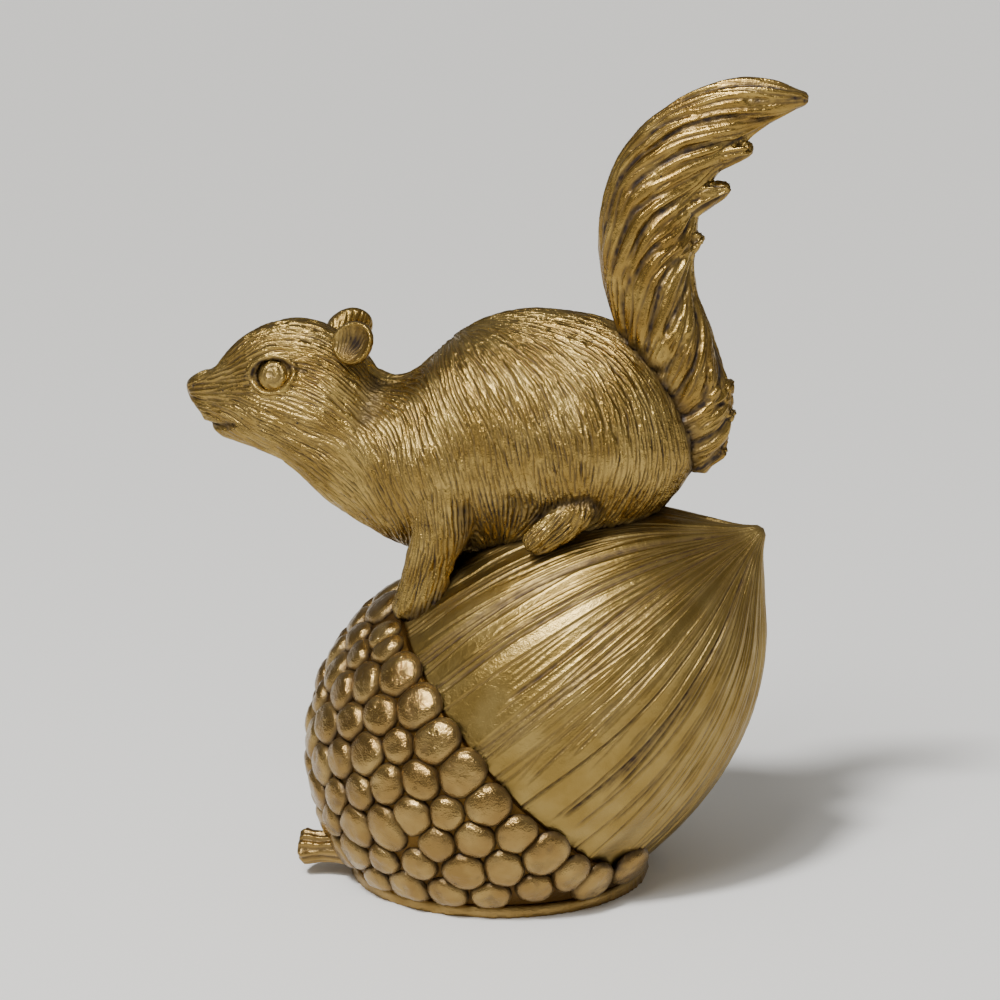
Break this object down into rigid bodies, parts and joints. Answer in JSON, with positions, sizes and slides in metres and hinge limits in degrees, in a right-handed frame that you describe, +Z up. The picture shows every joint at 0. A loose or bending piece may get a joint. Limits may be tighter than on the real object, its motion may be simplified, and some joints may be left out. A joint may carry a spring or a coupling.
{
  "type": "squirrel figurine",
  "caption": "Table ornament of a squirrel with a raised bushy tail, standing on a large tilted acorn with a scaled cup, on a round flat foot",
  "frame": {"origin": "centre of the foot's flat underside", "axes": "+Z up, the squirrel looks along -X, the acorn's tip and the tail's tip point along +X, +Y is the squirrel's right side"},
  "size_m": [0.1557, 0.1014, 0.2029],
  "materials": {
    "fur_gold": "cast resin, antique gold paint over carved fur strokes, dark wash in the grooves",
    "tail_gold": "cast resin, antique gold paint over long carved grooves, dark wash in the grooves",
    "eye_gold": "cast resin, smooth antique gold paint",
    "nut_gold": "cast resin, antique gold paint over long fluting",
    "scale_gold": "cast resin, antique gold paint, dented faces",
    "cup_gold": "cast resin, gold paint under a heavy dark wash",
    "stalk_gold": "cast resin, antique gold paint, rough",
    "foot_gold": "cast resin, antique gold paint, smooth lip",
    "pin_steel": "plain steel rod"
  },
  "bodies": {
    "root": {"cup": "cup_gold", "ear_left": "fur_gold", "ear_right": "fur_gold", "eye_left": "eye_gold", "eye_right": "eye_gold", "foot": "foot_gold", "foreleg_left": "fur_gold", "foreleg_right": "fur_gold", "head": "fur_gold", "hind_foot_left": "fur_gold", "hind_foot_right": "fur_gold", "nut": "nut_gold", "scale_row_1": "scale_gold", "scale_row_2": "scale_gold", "scale_row_3": "scale_gold", "scale_row_4": "scale_gold", "scale_row_5": "scale_gold", "scale_row_6": "scale_gold", "scale_row_7": "scale_gold", "scale_row_8": "scale_gold", "seat_pins": "pin_steel", "stalk": "stalk_gold", "tail": "tail_gold", "tail_pin": "pin_steel", "torso": "fur_gold"}
  },
  "joints": []
}
